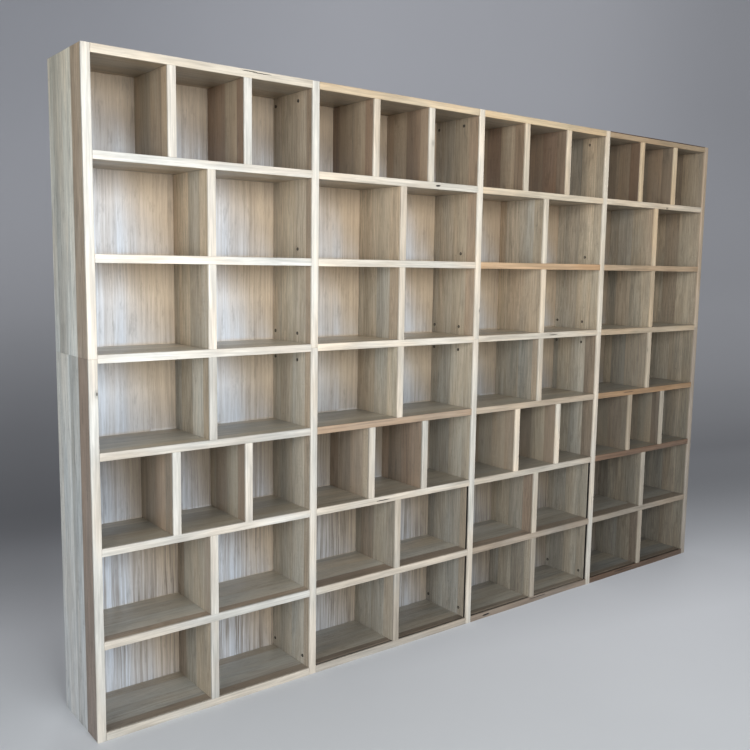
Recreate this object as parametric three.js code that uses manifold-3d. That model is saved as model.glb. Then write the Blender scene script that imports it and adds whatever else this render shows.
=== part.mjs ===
// A free-standing timber pigeonhole mail sorter: two stacked open cases, four bays wide.
// Millimetres, +Z up, the open front faces -Y, the origin is at the bottom centre.
import * as THREE from "three";
import { mergeVertices } from "three/addons/utils/BufferGeometryUtils.js";
import Module from "manifold-3d";

// Counts
const BAYS = 4;
// Tiers from the floor up: how many rows each divider runs through, the cells in a row,
// and whether the dividers are glued to the shelf they stand on.
const TIERS = [
  { rows: 2, cells: 2, glued: false },
  { rows: 1, cells: 3, glued: true },
  { rows: 1, cells: 2, glued: false },
  { rows: 2, cells: 2, glued: false },
  { rows: 1, cells: 3, glued: true },
];
// Rows below the joint between the lower and the upper case
const LOWER_ROWS = 4;

// Boards
const BOARD_THICKNESS = 30;
const SHELF_THICKNESS = 28;
const BACK_THICKNESS = 18;

// Clear spaces
const BAY_WIDTH = 830;
const CELL_HEIGHT = 297;
const SHELF_DEPTH = 280;
// The uprights stand this far behind the back panels, to clear a skirting board.
const WALL_GAP = 22;

// Joints
// How far a shelf end is let into an upright, and how far that stops short of the front
const HOUSING_DEPTH = 6;
const HOUSING_STOP = 18;
// How far a divider end is let into a shelf, and how far that stops short of the front
const GROOVE_DEPTH = 4;
const GROOVE_STOP = 16;
// What is left of an upright between the back panels on its two sides
const UPRIGHT_WEB = 10;
// Glue line or play left between pieces that meet
const JOINT_GAP = 0.3;

// Finishes: colour, roughness
const UPRIGHT_FINISH = { color: 0xd3c2a6, roughness: 0.55 };
const SHELF_FINISH = { color: 0xb8a78c, roughness: 0.45 };
const DIVIDER_FINISH = { color: 0xa6957c, roughness: 0.55 };
const BACK_FINISH = { color: 0x9b9287, roughness: 0.65 };
const WOOD_METALNESS = 0;

// Derived sizes
const ROWS = TIERS.reduce((sum, tier) => sum + tier.rows, 0);
const ROW_PITCH = CELL_HEIGHT + SHELF_THICKNESS;
const BAY_PITCH = BAY_WIDTH + BOARD_THICKNESS;
const HEIGHT = ROWS * ROW_PITCH + SHELF_THICKNESS;
const WIDTH = BAYS * BAY_PITCH + BOARD_THICKNESS;
const DEPTH = SHELF_DEPTH + BACK_THICKNESS + WALL_GAP;
const LAP_DEPTH = SHELF_DEPTH / 2;
const REBATE_WIDTH = (BOARD_THICKNESS - UPRIGHT_WEB) / 2;
const CASE_JOINT = shelfUnderside(LOWER_ROWS) + SHELF_THICKNESS / 2;

const wasm = await Module();
wasm.setup();

// Height of the underside of the shelf at a level, where level 0 is the base board
function shelfUnderside(level) {
  return level * ROW_PITCH;
}

// Left faces of the dividers in a row of cells, measured from the bay's left side
function dividerPlaces(cells) {
  const cellWidth = (BAY_WIDTH - (cells - 1) * BOARD_THICKNESS) / cells;
  return Array.from({ length: cells - 1 }, (_, i) => (i + 1) * cellWidth + i * BOARD_THICKNESS);
}

// A closed geometry as a solid that can be joined and cut
function solidFrom(geometry) {
  const bare = geometry.clone();
  bare.deleteAttribute("normal");
  bare.deleteAttribute("uv");
  const merged = mergeVertices(bare);
  return new wasm.Manifold(
    new wasm.Mesh({
      numProp: 3,
      vertProperties: new Float32Array(merged.attributes.position.array),
      triVerts: new Uint32Array(merged.index.array),
    }),
  );
}

// A joined or cut solid back as a geometry
function geometryFrom(solid) {
  const mesh = solid.getMesh();
  const geometry = new THREE.BufferGeometry();
  geometry.setAttribute("position", new THREE.BufferAttribute(mesh.vertProperties, 3));
  geometry.setIndex(new THREE.BufferAttribute(mesh.triVerts, 1));
  geometry.computeVertexNormals();
  return geometry;
}

// A box between two corners
function boxBetween(low, high) {
  const size = high.map((value, i) => value - low[i]);
  const geometry = new THREE.BoxGeometry(...size);
  return geometry.translate(...low.map((value, i) => value + size[i] / 2));
}

// A plan outline of [x, y] points raised along +Z
function raisedPlan(points, height) {
  const shape = new THREE.Shape(points.map(([x, y]) => new THREE.Vector2(x, y)));
  return new THREE.ExtrudeGeometry(shape, { depth: height, bevelEnabled: false });
}

// A side outline of [y, z] points widened along +X
function widenedSide(points, width) {
  const axes = new THREE.Matrix4().makeBasis(
    new THREE.Vector3(0, 1, 0),
    new THREE.Vector3(0, 0, 1),
    new THREE.Vector3(1, 0, 0),
  );
  return raisedPlan(points, width).applyMatrix4(axes);
}

// Plan of an upright, with a rebate behind the shelves on each side that holds a back panel
function uprightPlan(hasLeftBay, hasRightBay) {
  const points = [
    [0, 0],
    [BOARD_THICKNESS, 0],
  ];
  if (hasRightBay) {
    points.push([BOARD_THICKNESS, SHELF_DEPTH]);
    points.push([BOARD_THICKNESS - REBATE_WIDTH, SHELF_DEPTH]);
    points.push([BOARD_THICKNESS - REBATE_WIDTH, DEPTH]);
  } else {
    points.push([BOARD_THICKNESS, DEPTH]);
  }
  if (hasLeftBay) {
    points.push([REBATE_WIDTH, DEPTH]);
    points.push([REBATE_WIDTH, SHELF_DEPTH]);
    points.push([0, SHELF_DEPTH]);
  } else {
    points.push([0, DEPTH]);
  }
  return points;
}

// An upright between two heights, with a stopped housing for every shelf end that it carries
function uprightGeometry(hasLeftBay, hasRightBay, bottom, top) {
  let solid = solidFrom(raisedPlan(uprightPlan(hasLeftBay, hasRightBay), top - bottom));
  const reach = HOUSING_DEPTH + JOINT_GAP;
  const front = HOUSING_STOP - JOINT_GAP;
  const back = SHELF_DEPTH + JOINT_GAP;
  for (let level = 0; level <= ROWS; level += 1) {
    const low = shelfUnderside(level) - JOINT_GAP - bottom;
    const high = low + SHELF_THICKNESS + 2 * JOINT_GAP;
    if (hasRightBay) {
      const housing = boxBetween(
        [BOARD_THICKNESS - reach, front, low],
        [BOARD_THICKNESS + JOINT_GAP, back, high],
      );
      solid = solid.subtract(solidFrom(housing));
    }
    if (hasLeftBay) {
      const housing = boxBetween([-JOINT_GAP, front, low], [reach, back, high]);
      solid = solid.subtract(solidFrom(housing));
    }
  }
  return geometryFrom(solid);
}

// Plan of a shelf: its ends are let into the uprights, and it is slotted halfway from the back
// wherever a divider crosses it
function shelfPlan(slots) {
  const points = [
    [JOINT_GAP, 0],
    [BAY_WIDTH - JOINT_GAP, 0],
    [BAY_WIDTH - JOINT_GAP, HOUSING_STOP],
    [BAY_WIDTH + HOUSING_DEPTH, HOUSING_STOP],
    [BAY_WIDTH + HOUSING_DEPTH, SHELF_DEPTH],
  ];
  for (const left of slots.toReversed()) {
    const slotRight = left + BOARD_THICKNESS + JOINT_GAP;
    const slotLeft = left - JOINT_GAP;
    points.push([slotRight, SHELF_DEPTH]);
    points.push([slotRight, LAP_DEPTH]);
    points.push([slotLeft, LAP_DEPTH]);
    points.push([slotLeft, SHELF_DEPTH]);
  }
  points.push([-HOUSING_DEPTH, SHELF_DEPTH]);
  points.push([-HOUSING_DEPTH, HOUSING_STOP]);
  points.push([JOINT_GAP, HOUSING_STOP]);
  return points;
}

// The cutter for a divider's groove in a shelf face, between two heights
function grooveBetween(left, low, high) {
  return boxBetween(
    [left - JOINT_GAP, GROOVE_STOP - JOINT_GAP, low],
    [left + BOARD_THICKNESS + JOINT_GAP, SHELF_DEPTH + JOINT_GAP, high],
  );
}

// Side outline of a divider through some rows. Its ends are let into the shelves below and above,
// or glued flat on the shelf below, and it is slotted halfway from the front for shelves it crosses.
function dividerSide(rows, glued) {
  const top = rows * ROW_PITCH - SHELF_THICKNESS;
  const points = [];
  if (glued) {
    points.push([0, -GROOVE_DEPTH]);
  } else {
    points.push([0, JOINT_GAP]);
    points.push([GROOVE_STOP, JOINT_GAP]);
    points.push([GROOVE_STOP, -GROOVE_DEPTH]);
  }
  points.push([SHELF_DEPTH, -GROOVE_DEPTH]);
  points.push([SHELF_DEPTH, top + GROOVE_DEPTH]);
  points.push([GROOVE_STOP, top + GROOVE_DEPTH]);
  points.push([GROOVE_STOP, top - JOINT_GAP]);
  points.push([0, top - JOINT_GAP]);
  for (let crossed = rows - 1; crossed > 0; crossed -= 1) {
    const shelfTop = crossed * ROW_PITCH + JOINT_GAP;
    const shelfBottom = crossed * ROW_PITCH - SHELF_THICKNESS - JOINT_GAP;
    points.push([0, shelfTop]);
    points.push([LAP_DEPTH + JOINT_GAP, shelfTop]);
    points.push([LAP_DEPTH + JOINT_GAP, shelfBottom]);
    points.push([0, shelfBottom]);
  }
  return points;
}

function dividerGeometry(rows, glued) {
  return widenedSide(dividerSide(rows, glued), BOARD_THICKNESS);
}

// A shelf with the slots, grooves and glued dividers that the tiers around it call for
function shelfGeometry(above, below, crossing) {
  const slots = crossing ? dividerPlaces(crossing.cells) : [];
  let solid = solidFrom(raisedPlan(shelfPlan(slots), SHELF_THICKNESS));
  if (below) {
    for (const left of dividerPlaces(below.cells)) {
      solid = solid.subtract(solidFrom(grooveBetween(left, -JOINT_GAP, GROOVE_DEPTH + JOINT_GAP)));
    }
  }
  if (above && above.glued) {
    for (const left of dividerPlaces(above.cells)) {
      const divider = dividerGeometry(above.rows, true).translate(left, 0, SHELF_THICKNESS);
      solid = solid.add(solidFrom(divider));
    }
  }
  if (above && !above.glued) {
    const floor = SHELF_THICKNESS - GROOVE_DEPTH - JOINT_GAP;
    for (const left of dividerPlaces(above.cells)) {
      solid = solid.subtract(solidFrom(grooveBetween(left, floor, SHELF_THICKNESS + JOINT_GAP)));
    }
  }
  return geometryFrom(solid);
}

// A back panel over the full height of a bay, edged into the rebates of its two uprights
function backGeometry() {
  const overlap = REBATE_WIDTH - JOINT_GAP;
  const front = SHELF_DEPTH + JOINT_GAP;
  return boxBetween([-overlap, front, 0], [BAY_WIDTH + overlap, front + BACK_THICKNESS, HEIGHT]);
}

function namedMesh(name, geometry, finish) {
  const material = new THREE.MeshStandardMaterial({ ...finish, metalness: WOOD_METALNESS });
  const mesh = new THREE.Mesh(geometry, material);
  mesh.name = name;
  return mesh;
}

function shelfName(level, glued) {
  if (level === 0) {
    return "base_board";
  }
  if (level === ROWS) {
    return "top_board";
  }
  return (glued ? "divided_shelf_" : "shelf_") + level;
}

// The lower and the upper half of one line of uprights
function addUprights(unit, line) {
  const hasLeftBay = line > 0;
  const hasRightBay = line < BAYS;
  const halves = [
    ["lower_upright_", 0, CASE_JOINT - JOINT_GAP / 2],
    ["upper_upright_", CASE_JOINT + JOINT_GAP / 2, HEIGHT],
  ];
  for (const [prefix, bottom, top] of halves) {
    const geometry = uprightGeometry(hasLeftBay, hasRightBay, bottom, top);
    const mesh = namedMesh(prefix + (line + 1), geometry, UPRIGHT_FINISH);
    mesh.position.set(line * BAY_PITCH, 0, bottom);
    unit.add(mesh);
  }
}

// The shelves, loose dividers and back panel of one bay
function bayGroup(bay) {
  const group = new THREE.Group();
  const suffix = "_bay_" + (bay + 1);
  let floor = 0;
  const placed = TIERS.map((tier) => {
    const start = floor;
    floor += tier.rows;
    return { ...tier, start, end: floor };
  });
  for (let level = 0; level <= ROWS; level += 1) {
    const above = placed.find((tier) => tier.start === level);
    const below = placed.find((tier) => tier.end === level);
    const crossing = placed.find((tier) => tier.start < level && level < tier.end);
    const name = shelfName(level, above && above.glued) + suffix;
    const mesh = namedMesh(name, shelfGeometry(above, below, crossing), SHELF_FINISH);
    mesh.position.z = shelfUnderside(level);
    group.add(mesh);
  }
  for (const tier of placed.filter((one) => !one.glued)) {
    const rowNames = tier.rows > 1 ? "rows_" + (tier.start + 1) + "_" + tier.end : "row_" + tier.end;
    dividerPlaces(tier.cells).forEach((left, i) => {
      const copy = tier.cells > 2 ? "_" + (i + 1) : "";
      const name = "divider_" + rowNames + copy + suffix;
      const mesh = namedMesh(name, dividerGeometry(tier.rows, false), DIVIDER_FINISH);
      mesh.position.set(left, 0, shelfUnderside(tier.start) + SHELF_THICKNESS);
      group.add(mesh);
    });
  }
  group.add(namedMesh("back_panel" + suffix, backGeometry(), BACK_FINISH));
  group.position.x = bay * BAY_PITCH + BOARD_THICKNESS;
  return group;
}

const unit = new THREE.Group();
for (let line = 0; line <= BAYS; line += 1) {
  addUprights(unit, line);
}
for (let bay = 0; bay < BAYS; bay += 1) {
  unit.add(bayGroup(bay));
}
unit.position.set(-WIDTH / 2, -DEPTH / 2, 0);

const sorter = new THREE.Group();
sorter.add(unit);

export default sorter;
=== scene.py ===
import math

import bpy
import numpy as np
from mathutils import Matrix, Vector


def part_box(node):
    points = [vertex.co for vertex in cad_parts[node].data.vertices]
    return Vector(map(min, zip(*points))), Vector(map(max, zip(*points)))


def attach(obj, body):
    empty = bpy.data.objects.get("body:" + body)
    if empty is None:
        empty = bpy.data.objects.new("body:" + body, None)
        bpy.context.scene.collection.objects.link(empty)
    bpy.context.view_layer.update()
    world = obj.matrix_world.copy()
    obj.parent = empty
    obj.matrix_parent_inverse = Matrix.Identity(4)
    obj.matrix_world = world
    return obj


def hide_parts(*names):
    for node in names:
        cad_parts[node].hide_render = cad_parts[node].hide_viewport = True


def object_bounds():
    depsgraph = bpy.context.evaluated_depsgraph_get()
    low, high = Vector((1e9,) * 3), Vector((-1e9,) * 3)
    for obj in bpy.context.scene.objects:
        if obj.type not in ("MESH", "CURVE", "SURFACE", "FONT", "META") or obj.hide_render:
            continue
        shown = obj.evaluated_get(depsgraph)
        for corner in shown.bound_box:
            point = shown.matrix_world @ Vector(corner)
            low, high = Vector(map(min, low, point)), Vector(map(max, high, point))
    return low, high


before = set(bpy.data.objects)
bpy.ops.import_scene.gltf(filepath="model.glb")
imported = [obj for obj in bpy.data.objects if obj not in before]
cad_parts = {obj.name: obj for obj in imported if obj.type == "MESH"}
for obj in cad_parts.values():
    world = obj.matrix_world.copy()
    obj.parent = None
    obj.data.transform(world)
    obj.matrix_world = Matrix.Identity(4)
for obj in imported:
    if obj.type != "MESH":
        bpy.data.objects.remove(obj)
CAD_LOW, CAD_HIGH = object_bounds()

bl_info = {
    "name": "Pigeonhole Mail Sorter",
    "version": (1, 0, 0),
    "blender": (4, 5, 0),
    "location": "View3D > Sidebar > Sorter",
    "description": "Dresses a timber pigeonhole unit with boards, lippings, backs and screws",
    "category": "Object",
}

MM = 0.001
BODY = "root"
BAYS = 4
ROWS = 7
LOWER_ROWS = 4
SEED = 41
X, Y, Z = 0, 1, 2
# The two directions of a board's outline, then the one it runs along
UPRIGHT_AXES = (X, Y, Z)
SHELF_AXES = (Y, Z, X)
FACE_AXES = (Z, X, Y)
TIMBER, LIPPING = 0, 1


def linear(red, green, blue):
    """Scene-linear colour of an 8-bit display colour."""
    value = np.array([red, green, blue]) / 255.0
    return tuple(np.where(value <= 0.04045, value / 12.92, ((value + 0.055) / 1.055) ** 2.4))


def colour_property(name, description, default):
    return bpy.props.FloatVectorProperty(
        name=name, description=description, subtype="COLOR", size=3, min=0, max=1, default=default
    )


def length_property(name, description, millimetres):
    return bpy.props.FloatProperty(
        name=name, description=description, default=millimetres * MM, min=0, unit="LENGTH"
    )


class SorterSizes(bpy.types.PropertyGroup):
    """Sizes of the visible joinery."""

    lipping: length_property("Lipping", "Depth of the strip glued on each front edge", 9)
    joint_line: length_property("Joint line", "Open line between a lipping and its board", 0.5)
    end_joint: length_property("End joint", "Open line between a shelf and an upright", 0.6)
    panel_joint: length_property("Panel joint", "Open line behind the left end's lower lipping", 3)
    gaping_joint: length_property("Gaping joint", "Open line behind the lower inner lippings", 12)
    arris: length_property("Arris", "Radius on the edges of every board", 1.2)
    wander: length_property("Wander", "How far an edge strays from straight", 0.5)
    ragged: length_property("Ragged wander", "How far a worn edge strays from straight", 1.6)
    stave: length_property("Stave", "Width of the staves a board is glued from", 88)
    front_stave: length_property("Front stave", "What is left of a board's foremost stave", 64)
    screw: length_property("Screw", "Diameter of a connector screw's head", 13)


class SorterColours(bpy.types.PropertyGroup):
    """Colours of the timber and of the stage."""

    ivory: colour_property("Ivory", "Palest lippings", linear(230, 224, 214))
    straw: colour_property("Straw", "Lippings towards the right", linear(224, 199, 163))
    amber: colour_property("Amber", "Resinous lippings", linear(205, 158, 110))
    umber: colour_property("Umber", "Darkest lippings", linear(140, 112, 92))
    brown: colour_property("Brown stave", "Heartwood staves", linear(138, 116, 100))
    tan: colour_property("Tan stave", "Warm pale staves", linear(178, 165, 146))
    grey: colour_property("Grey stave", "Weathered staves", linear(163, 158, 149))
    # Dirt colour: real dirt in splits, and painted shade in open joints
    dirt_and_shade: colour_property("Dirt", "Dirt in open joints and splits", linear(42, 36, 32))
    # Pale and brown backs: painted light where light falls on a back, painted shade under a shelf
    back_lit: colour_property("Pale back", "Bleached part of the backs", linear(193, 201, 212))
    back_brown: colour_property("Brown back", "Shaded part of the backs", linear(172, 155, 133))
    back_dark: colour_property("Dark back", "Dark stripes of the backs", linear(110, 99, 87))
    steel: colour_property("Steel", "Blackened screw heads", linear(52, 48, 46))
    floor: colour_property("Floor", "Pale floor", linear(196, 198, 200))
    # Dusk: painted shade where the floor bends up into the backdrop
    dusk: colour_property("Dusk", "Backdrop near the floor", linear(104, 106, 110))
    wall: colour_property("Wall", "Backdrop higher up", linear(156, 158, 166))


def settings():
    """The sizes and colours set in the sidebar."""
    scene = bpy.context.scene
    return scene.sorter_sizes, scene.sorter_colours


# Node trees

# Sockets of a Mix node that works on colours
MIX_INPUTS, MIX_OUTPUT = (0, 6, 7), 2
# Group sockets that hold vectors; the others hold numbers
VECTOR_SOCKETS = ("Vector", "Bent")
BUMP_DEPTH = 0.3 * MM


class Nodes:
    """A node tree under construction. Most methods add one node, feed its inputs with sockets or
    plain values, and return its output."""

    def __init__(self, tree):
        self.tree = tree

    def add(self, kind, **options):
        node = self.tree.nodes.new(kind)
        for key, value in options.items():
            setattr(node, key, value)
        return node

    def feed(self, socket, value):
        """Links a socket, or sets the value of an input."""
        if isinstance(value, bpy.types.NodeSocket):
            self.tree.links.new(value, socket)
        elif socket.type == "RGBA":
            socket.default_value = (*value, 1)
        else:
            socket.default_value = value

    def feed_all(self, sockets, values):
        for name, value in values.items():
            self.feed(sockets[name], value)

    def math(self, operation, *values):
        node = self.add("ShaderNodeMath", operation=operation)
        for socket, value in zip(node.inputs, values):
            self.feed(socket, value)
        return node.outputs[0]

    def product(self, first, second):
        return self.math("MULTIPLY", first, second)

    def rest(self, value):
        """One minus a value."""
        return self.math("SUBTRACT", 1.0, value)

    def vector(self, operation, first, second):
        node = self.add("ShaderNodeVectorMath", operation=operation)
        self.feed(node.inputs[0], first)
        self.feed(node.inputs["Scale" if operation == "SCALE" else 1], second)
        return node.outputs[0]

    def mix(self, blend, factor, first, second):
        node = self.add("ShaderNodeMix", data_type="RGBA", blend_type=blend)
        for index, value in zip(MIX_INPUTS, (factor, first, second)):
            self.feed(node.inputs[index], value)
        return node.outputs[MIX_OUTPUT]

    def remap(self, value, low, high, to_low=0.0, to_high=1.0, easing="SMOOTHSTEP"):
        """An eased step of a value from one range to another."""
        node = self.add("ShaderNodeMapRange", interpolation_type=easing)
        for socket, number in zip(node.inputs, (value, low, high, to_low, to_high)):
            self.feed(socket, number)
        return node.outputs[0]

    def shade(self, start, effects):
        """A number times a factor for each effect, whose value from 0 to 1 is set to a range."""
        for value, low, high in effects:
            start = self.product(start, self.remap(value, 0.0, 1.0, low, high))
        return start

    def noise(self, vector, scale, detail, roughness):
        """Noise on coordinates stretched by a scale for each axis."""
        node = self.add("ShaderNodeTexNoise")
        stretched = self.vector("MULTIPLY", vector, scale)
        self.feed_all(node.inputs, {"Vector": stretched, "Scale": 1, "Detail": detail,
                                    "Roughness": roughness})
        return node.outputs[0]

    def ramp(self, value, stops):
        """A colour ramp through stops from 0 to 1, each a place and a colour."""
        node = self.add("ShaderNodeValToRGB")
        points = node.color_ramp.elements
        for place, _ in stops[1:-1]:
            points.new(place)
        for point, (place, colour) in zip(points, stops):
            point.position, point.color = place, (*colour, 1)
        self.feed(node.inputs[0], value)
        return node.outputs[0]

    def attribute(self, name, output="Vector"):
        return self.add("ShaderNodeAttribute", attribute_name=name).outputs[output]

    def object_place(self):
        return self.add("ShaderNodeTexCoord").outputs["Object"]

    def separate(self, value, kind="XYZ"):
        """The three parts of a vector or colour."""
        node = self.add("ShaderNodeSeparate" + kind)
        self.feed(node.inputs[0], value)
        return node.outputs

    def combine(self, *values):
        node = self.add("ShaderNodeCombineXYZ")
        for socket, value in zip(node.inputs, values):
            self.feed(socket, value)
        return node.outputs[0]

    def group(self, tree, values):
        """A placed node group; returns its outputs."""
        node = self.add("ShaderNodeGroup")
        node.node_tree = tree
        self.feed_all(node.inputs, values)
        return node.outputs

    def bump(self, shader, height, strength):
        """Relief on a shader from a height."""
        node = self.add("ShaderNodeBump")
        self.feed_all(node.inputs, {"Distance": BUMP_DEPTH, "Strength": strength, "Height": height})
        self.feed(shader.inputs["Normal"], node.outputs[0])


def new_group(name, inputs, outputs):
    """An empty shader node group with named sockets: its nodes, what comes in and what goes out."""
    tree = bpy.data.node_groups.new(name, "ShaderNodeTree")
    for direction, sockets in (("INPUT", inputs), ("OUTPUT", outputs)):
        for socket in sockets:
            kind = "NodeSocketVector" if socket in VECTOR_SOCKETS else "NodeSocketFloat"
            tree.interface.new_socket(socket, in_out=direction, socket_type=kind)
    nodes = Nodes(tree)
    return nodes, nodes.add("NodeGroupInput").outputs, nodes.add("NodeGroupOutput").inputs


def grain_group():
    """Long fibres: broad figure with contour lines around its hills, medium streaks and fine pores,
    all stretched along the board, and blots of grime. The fibres stray sideways by a slow noise
    times a distance."""
    outputs = ("Bent", "Figure", "Contours", "Streaks", "Pores", "Grime")
    nodes, start, end = new_group("long_grain", ("Vector", "Stray"), outputs)
    slow = nodes.noise(start["Vector"], (2.6, 9, 9), 3, 0.55)
    drift = nodes.product(nodes.math("SUBTRACT", slow, 0.5), start["Stray"])
    bent = nodes.vector("ADD", start["Vector"], nodes.combine(0.0, drift, drift))
    figure = nodes.noise(bent, (0.9, 14, 14), 1.5, 0.5)
    fold = nodes.math("PINGPONG", nodes.product(figure, 14.0), 1.0)
    nodes.feed_all(end, {
        "Bent": bent,
        "Figure": nodes.remap(figure, 0.3, 0.7),
        "Contours": nodes.remap(fold, 0.0, 0.6),
        "Streaks": nodes.remap(nodes.noise(bent, (4.5, 190, 190), 4, 0.65), 0.36, 0.62),
        "Pores": nodes.remap(nodes.noise(bent, (14, 700, 700), 2, 0.5), 0.52, 0.7),
        "Grime": nodes.remap(nodes.noise(bent, (9, 34, 34), 5, 0.7), 0.5, 0.72),
    })
    return nodes.tree


def stave_group():
    """Strips glued edge to edge: random tones for each strip of a board, fibre coordinates that
    jump from strip to strip, and a mask on glue lines. The strip is the whole part of the distance
    from the front over the stave width."""
    outputs = ("Vector", "Tone", "Shift", "Flat sawn", "Front", "Glue line")
    nodes, start, end = new_group("glued_staves", ("Vector", "Board", "Width"), outputs)
    count = nodes.math("DIVIDE", nodes.separate(start["Vector"])[1], start["Width"])
    number = nodes.math("FLOOR", count)
    chance = nodes.add("ShaderNodeTexWhiteNoise", noise_dimensions="2D")
    nodes.feed(chance.inputs["Vector"], nodes.combine(number, start["Board"]))
    colour = chance.outputs["Color"]
    tone, shift, sawn = nodes.separate(colour, "Color")
    inside = nodes.math("FRACT", count)
    edge = nodes.math("MINIMUM", inside, nodes.rest(inside))
    nodes.feed_all(end, {
        "Vector": nodes.vector("ADD", start["Vector"], nodes.vector("SCALE", colour, 9)),
        "Tone": tone,
        "Shift": shift,
        "Flat sawn": nodes.remap(sawn, 0.5, 0.8),
        "Front": nodes.math("LESS_THAN", number, 0.5),
        "Glue line": nodes.remap(edge, 0.0, 0.012, 1.0, 0.0),
    })
    return nodes.tree


def knot_group():
    """Small scattered knots: the core and ring of some cells of a cell pattern along the board."""
    nodes, start, end = new_group("small_knots", ("Vector", "Amount", "Scale"), ("Core", "Ring"))
    cells = nodes.add("ShaderNodeTexVoronoi", voronoi_dimensions="3D", feature="F1")
    stretched = nodes.vector("MULTIPLY", start["Vector"], (5, 9, 9))
    nodes.feed_all(cells.inputs, {"Vector": stretched, "Scale": start["Scale"]})
    chance = nodes.separate(cells.outputs["Color"], "Color")[0]
    chosen = nodes.math("LESS_THAN", chance, start["Amount"])
    for name, inner, outer in (("Core", 0.03, 0.07), ("Ring", 0.05, 0.2)):
        mask = nodes.remap(cells.outputs["Distance"], inner, outer, 1.0, 0.0)
        nodes.feed(end[name], nodes.product(mask, chosen))
    return nodes.tree


def place_fibres(nodes, vector, stray):
    """The fibre group on a vector, straying sideways by up to about half a distance."""
    tree = bpy.data.node_groups.get("long_grain") or grain_group()
    return nodes.group(tree, {"Vector": vector, "Stray": stray})


def place_staves(nodes, vector, board, width):
    """The stave group on a vector: the number of its board and the width of a stave."""
    tree = bpy.data.node_groups.get("glued_staves") or stave_group()
    return nodes.group(tree, {"Vector": vector, "Board": board, "Width": width})


def place_knots(nodes, vector, amount, scale):
    """The knot group on a vector: the share of places that have a knot, and how small they are."""
    tree = bpy.data.node_groups.get("small_knots") or knot_group()
    return nodes.group(tree, {"Vector": vector, "Amount": amount, "Scale": scale})


# Materials


def new_material(name):
    """A material with its nodes and its shader."""
    material = bpy.data.materials.new(name)
    material.use_nodes = True
    tree = material.node_tree
    return material, Nodes(tree), tree.nodes["Principled BSDF"]


def board_timber(name, roughness, coat, streak):
    """Glued-stave board: each strip takes a tone between brown, tan and grey, the one behind the
    front edge leans to brown, and fibres, pores, grime, specks and glue lines darken it."""
    sizes, colours = settings()
    material, nodes, shader = new_material(name)
    grain = nodes.attribute("grain")
    number, lean, brown = nodes.separate(nodes.attribute("make"))
    staves = place_staves(nodes, grain, number, sizes.stave)
    fibres = place_fibres(nodes, staves["Vector"], 0.03)
    specks = place_knots(nodes, grain, 0.3, 3.2)
    front = nodes.product(staves["Front"], brown)
    tone = nodes.product(staves["Tone"], nodes.rest(nodes.math("ABSOLUTE", lean)))
    tone = nodes.math("ADD", tone, nodes.math("MAXIMUM", lean, 0.0))
    tone = nodes.product(tone, nodes.rest(front))
    colour = nodes.ramp(tone, ((0.0, colours.brown), (0.5, colours.tan), (1.0, colours.grey)))
    stain = nodes.remap(nodes.noise(staves["Vector"], (2.5, 12, 12), 2, 0.5), 0.3, 0.7)
    stain = nodes.mix("MIX", stain, (0.97, 1.01, 1.03), (1.03, 0.99, 0.93))
    for layer in (stain, nodes.attribute("tint", "Color")):
        colour = nodes.mix("MULTIPLY", 1.0, colour, layer)
    pale = nodes.product(nodes.math("MAXIMUM", lean, 0.2), 0.5)
    shade = nodes.shade(nodes.rest(nodes.product(front, pale)), (
        (staves["Shift"], 0.82, 1.16),
        (fibres["Figure"], 0.88, 1.1),
        (nodes.product(staves["Flat sawn"], nodes.rest(fibres["Contours"])), 1.0, 0.82),
        (fibres["Streaks"], 1.0 - streak, 1.0 + 0.5 * streak),
        (staves["Glue line"], 1.0, 0.75),
        (fibres["Pores"], 1.0, 0.84),
        (fibres["Grime"], 1.03, 0.78),
        (specks["Core"], 1.0, 0.4),
    ))
    gloss = nodes.remap(fibres["Streaks"], 0.0, 1.0, roughness + 0.08, roughness - 0.05)
    nodes.feed_all(shader.inputs, {
        "Base Color": nodes.vector("SCALE", colour, shade), "Roughness": gloss,
        "Coat Weight": coat, "Coat Roughness": 0.35,
    })
    nodes.bump(shader, nodes.math("SUBTRACT", fibres["Streaks"], fibres["Pores"]), 0.35)
    return material


def lipping_timber():
    """Pale edge strip: the piece's own tint, flushed pink and cool by turns along it, with soft
    figure, streaks, a few small knots and thin splits."""
    material, nodes, shader = new_material("lipping_timber")
    grain = nodes.attribute("grain")
    fibres = place_fibres(nodes, grain, 0.012)
    knots = place_knots(nodes, grain, 0.12, 1.7)
    thin = nodes.vector("MULTIPLY", fibres["Bent"], (0.4, 4.4, 4.4))
    splits = place_knots(nodes, thin, 0.5, 1.0)
    patches = nodes.remap(nodes.noise(grain, (5, 40, 40), 3, 0.6), 0.3, 0.7, 0.86, 1.07)
    shade = nodes.shade(patches, (
        (fibres["Figure"], 0.9, 1.05),
        (fibres["Contours"], 0.93, 1.02),
        (fibres["Streaks"], 0.86, 1.04),
        (knots["Ring"], 1.0, 0.75),
        (knots["Core"], 1.0, 0.3),
        (splits["Core"], 1.0, 0.35),
    ))
    flush = nodes.remap(nodes.noise(grain, (2.2, 9, 9), 2, 0.5), 0.35, 0.65)
    flush = nodes.mix("MIX", flush, (0.97, 1.0, 1.02), (1.03, 0.98, 0.92))
    tint = nodes.mix("MULTIPLY", 1.0, nodes.attribute("tint", "Color"), flush)
    nodes.feed_all(shader.inputs, {
        "Base Color": nodes.vector("SCALE", tint, shade),
        "Roughness": nodes.remap(fibres["Figure"], 0.0, 1.0, 0.62, 0.5),
    })
    nodes.bump(shader, nodes.math("SUBTRACT", fibres["Streaks"], knots["Core"]), 0.3)
    return material


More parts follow.
